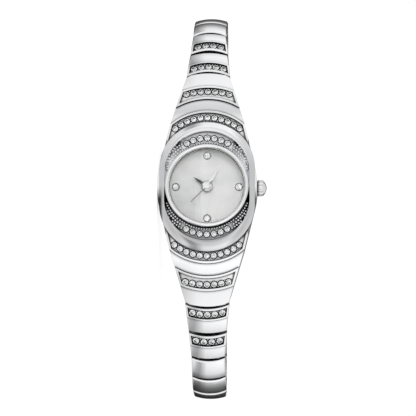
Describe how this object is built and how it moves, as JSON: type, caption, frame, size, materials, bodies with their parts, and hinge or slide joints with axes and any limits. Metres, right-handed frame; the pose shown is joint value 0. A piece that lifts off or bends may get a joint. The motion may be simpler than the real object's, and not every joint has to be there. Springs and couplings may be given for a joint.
{
  "type": "bracelet watch",
  "caption": "Stone-set bracelet watch with an oval case, hinged tapering links, three hands, pull-out crown and fold-over clasp.",
  "frame": {"origin": "centre of the case back's outer face", "axes": "the watch lies on its 9 o'clock flank: +Z towards 3 o'clock and the crown, -X towards 12 o'clock, -Y out of the dial, +Y out of the case back"},
  "size_m": [0.0805, 0.0446, 0.0219],
  "materials": {
    "polished_steel": "mirror polished",
    "brushed_steel": "fine brushed",
    "hand_steel": "polished",
    "clear_stone": "faceted, clear",
    "crystal_glass": "clear, polished",
    "pearl_dial": "mother of pearl sheen",
    "seal_rubber": "matt",
    "holder_plastic": "moulded",
    "board_plastic": "satin",
    "copper_wire": "enamelled wire",
    "gilt_brass": "gilt"
  },
  "bodies": {
    "head": {"case_body": "polished_steel", "oval_band": "polished_steel", "bezel_ring": "polished_steel", "crystal": "crystal_glass", "crystal_gasket": "holder_plastic", "dial_ring": "brushed_steel", "case_back": "brushed_steel", "case_back_gasket": "seal_rubber", "crescent_stones": "clear_stone", "shoulder_stones": "clear_stone", "lug_stones": "clear_stone", "dial": "pearl_dial", "dial_stones": "clear_stone", "crown_tube": "brushed_steel", "movement_holder": "holder_plastic", "main_plate": "gilt_brass", "train_bridge": "gilt_brass", "bridge_screws": "brushed_steel", "battery": "brushed_steel", "battery_strap": "brushed_steel", "circuit_board": "board_plastic", "coil": "copper_wire", "stator": "brushed_steel"},
    "second_hand": {"second_hand": "hand_steel", "seconds_wheel": "gilt_brass"},
    "minute_hand": {"minute_hand": "hand_steel", "cannon_pinion": "gilt_brass"},
    "hour_hand": {"hour_hand": "hand_steel", "hour_wheel": "gilt_brass"},
    "rotor": {"rotor": "brushed_steel"},
    "intermediate_wheel": {"intermediate_wheel": "gilt_brass"},
    "third_wheel": {"third_wheel": "gilt_brass"},
    "minute_wheel": {"minute_wheel": "gilt_brass"},
    "setting_yoke": {"setting_yoke": "brushed_steel"},
    "crown": {"crown": "polished_steel", "stem": "brushed_steel"},
    "link_12_1": {"link_12_1": "polished_steel", "link_12_1_stones": "clear_stone"},
    "link_12_2": {"link_12_2": "polished_steel", "link_12_2_stones": "clear_stone"},
    "link_12_3": {"link_12_3": "polished_steel"},
    "link_12_4": {"link_12_4": "polished_steel"},
    "link_12_5": {"link_12_5": "polished_steel"},
    "link_12_6": {"link_12_6": "polished_steel"},
    "link_12_7": {"link_12_7": "polished_steel"},
    "link_12_8": {"link_12_8": "polished_steel"},
    "link_12_9": {"link_12_9": "polished_steel"},
    "link_6_1": {"link_6_1": "polished_steel", "link_6_1_stones": "clear_stone"},
    "link_6_2": {"link_6_2": "polished_steel", "link_6_2_stones": "clear_stone"},
    "link_6_3": {"link_6_3": "polished_steel"},
    "link_6_4": {"link_6_4": "polished_steel"},
    "link_6_5": {"link_6_5": "polished_steel"},
    "link_6_6": {"link_6_6": "polished_steel"},
    "link_6_7": {"link_6_7": "polished_steel"},
    "link_6_8": {"link_6_8": "polished_steel"},
    "link_6_9": {"link_6_9": "polished_steel"},
    "clasp_base": {"clasp_base": "polished_steel"},
    "clasp_cover": {"clasp_cover": "polished_steel"}
  },
  "joints": [
    {"name": "second_hand_spin", "type": "hinge", "parent": "head", "child": "second_hand", "pos_m": [0, -0.0026, 0], "axis": [0, 1, 0], "continuous": true},
    {"name": "minute_hand_spin", "type": "hinge", "parent": "head", "child": "minute_hand", "pos_m": [0, -0.0026, 0], "axis": [0, 1, 0], "continuous": true},
    {"name": "hour_hand_spin", "type": "hinge", "parent": "head", "child": "hour_hand", "pos_m": [0, -0.0026, 0], "axis": [0, 1, 0], "continuous": true},
    {"name": "rotor_spin", "type": "hinge", "parent": "head", "child": "rotor", "pos_m": [0, -0.0026, -0.00308], "axis": [0, 1, 0], "continuous": true},
    {"name": "intermediate_wheel_spin", "type": "hinge", "parent": "head", "child": "intermediate_wheel", "pos_m": [0, -0.0026, -0.00168], "axis": [0, 1, 0], "continuous": true},
    {"name": "third_wheel_spin", "type": "hinge", "parent": "head", "child": "third_wheel", "pos_m": [-0.0018, -0.0026, 0], "axis": [0, 1, 0], "continuous": true},
    {"name": "minute_wheel_spin", "type": "hinge", "parent": "head", "child": "minute_wheel", "pos_m": [0.00113, -0.0026, 0.00113], "axis": [0, 1, 0], "continuous": true},
    {"name": "crown_pull", "type": "slide", "parent": "head", "child": "setting_yoke", "axis": [0, 0, 1], "range_m": [0, 0.0009]},
    {"name": "crown_spin", "type": "hinge", "parent": "setting_yoke", "child": "crown", "pos_m": [0, -0.00245, 0.01], "axis": [0, 0, 1], "continuous": true},
    {"name": "link_12_1_hinge", "type": "hinge", "parent": "head", "child": "link_12_1", "pos_m": [-0.023, -0.00015, 0], "axis": [0, 0, 1], "range_deg": [0, 8]},
    {"name": "link_12_2_hinge", "type": "hinge", "parent": "link_12_1", "child": "link_12_2", "pos_m": [-0.02816, 0.00346, 0], "axis": [0, 0, 1], "range_deg": [0, 6]},
    {"name": "link_12_3_hinge", "type": "hinge", "parent": "link_12_2", "child": "link_12_3", "pos_m": [-0.03289, 0.00716, 0], "axis": [0, 0, 1], "range_deg": [0, 19]},
    {"name": "link_12_4_hinge", "type": "hinge", "parent": "link_12_3", "child": "link_12_4", "pos_m": [-0.03589, 0.01128, 0], "axis": [0, 0, 1], "range_deg": [0, 19]},
    {"name": "link_12_5_hinge", "type": "hinge", "parent": "link_12_4", "child": "link_12_5", "pos_m": [-0.03763, 0.01608, 0], "axis": [0, 0, 1], "range_deg": [0, 21]},
    {"name": "link_12_6_hinge", "type": "hinge", "parent": "link_12_5", "child": "link_12_6", "pos_m": [-0.03781, 0.02117, 0], "axis": [0, 0, 1], "range_deg": [0, 32]},
    {"name": "link_12_7_hinge", "type": "hinge", "parent": "link_12_6", "child": "link_12_7", "pos_m": [-0.03463, 0.02741, 0], "axis": [0, 0, 1], "range_deg": [0, 28]},
    {"name": "link_12_8_hinge", "type": "hinge", "parent": "link_12_7", "child": "link_12_8", "pos_m": [-0.02911, 0.03172, 0], "axis": [0, 0, 1], "range_deg": [0, 22]},
    {"name": "link_12_9_hinge", "type": "hinge", "parent": "link_12_8", "child": "link_12_9", "pos_m": [-0.0225, 0.034, 0], "axis": [0, 0, 1], "range_deg": [0, 16]},
    {"name": "link_6_1_hinge", "type": "hinge", "parent": "head", "child": "link_6_1", "pos_m": [0.023, -0.00015, 0], "axis": [0, 0, -1], "range_deg": [0, 7.5]},
    {"name": "link_6_2_hinge", "type": "hinge", "parent": "link_6_1", "child": "link_6_2", "pos_m": [0.02819, 0.00342, 0], "axis": [0, 0, -1], "range_deg": [0, 5]},
    {"name": "link_6_3_hinge", "type": "hinge", "parent": "link_6_2", "child": "link_6_3", "pos_m": [0.03302, 0.00699, 0], "axis": [0, 0, -1], "range_deg": [0, 11]},
    {"name": "link_6_4_hinge", "type": "hinge", "parent": "link_6_3", "child": "link_6_4", "pos_m": [0.03665, 0.01056, 0], "axis": [0, 0, -1], "range_deg": [0, 20]},
    {"name": "link_6_5_hinge", "type": "hinge", "parent": "link_6_4", "child": "link_6_5", "pos_m": [0.03909, 0.01504, 0], "axis": [0, 0, -1], "range_deg": [0, 23.5]},
    {"name": "link_6_6_hinge", "type": "hinge", "parent": "link_6_5", "child": "link_6_6", "pos_m": [0.0398, 0.02009, 0], "axis": [0, 0, -1], "range_deg": [0, 34]},
    {"name": "link_6_7_hinge", "type": "hinge", "parent": "link_6_6", "child": "link_6_7", "pos_m": [0.03706, 0.02654, 0], "axis": [0, 0, -1], "range_deg": [0, 30]},
    {"name": "link_6_8_hinge", "type": "hinge", "parent": "link_6_7", "child": "link_6_8", "pos_m": [0.0317, 0.03104, 0], "axis": [0, 0, -1], "range_deg": [0, 23]},
    {"name": "link_6_9_hinge", "type": "hinge", "parent": "link_6_8", "child": "link_6_9", "pos_m": [0.02512, 0.03343, 0], "axis": [0, 0, -1], "range_deg": [0, 17]},
    {"name": "clasp_base_hinge", "type": "hinge", "parent": "link_6_9", "child": "clasp_base", "pos_m": [0.01816, 0.03416, 0], "axis": [0, 0, -1], "range_deg": [0, 8.04]},
    {"name": "clasp_cover_hinge", "type": "hinge", "parent": "clasp_base", "child": "clasp_cover", "pos_m": [0.01558, 0.0353, 0], "axis": [0, 0, -1], "range_deg": [0, 110]}
  ],
  "couplings": [
    {"joint": "minute_hand_spin", "follows": "second_hand_spin", "ratio": 0.016667},
    {"joint": "hour_hand_spin", "follows": "second_hand_spin", "ratio": 0.0013889},
    {"joint": "rotor_spin", "follows": "second_hand_spin", "ratio": 30},
    {"joint": "intermediate_wheel_spin", "follows": "second_hand_spin", "ratio": -5},
    {"joint": "third_wheel_spin", "follows": "second_hand_spin", "ratio": -0.13333},
    {"joint": "minute_wheel_spin", "follows": "second_hand_spin", "ratio": -0.0055556}
  ]
}
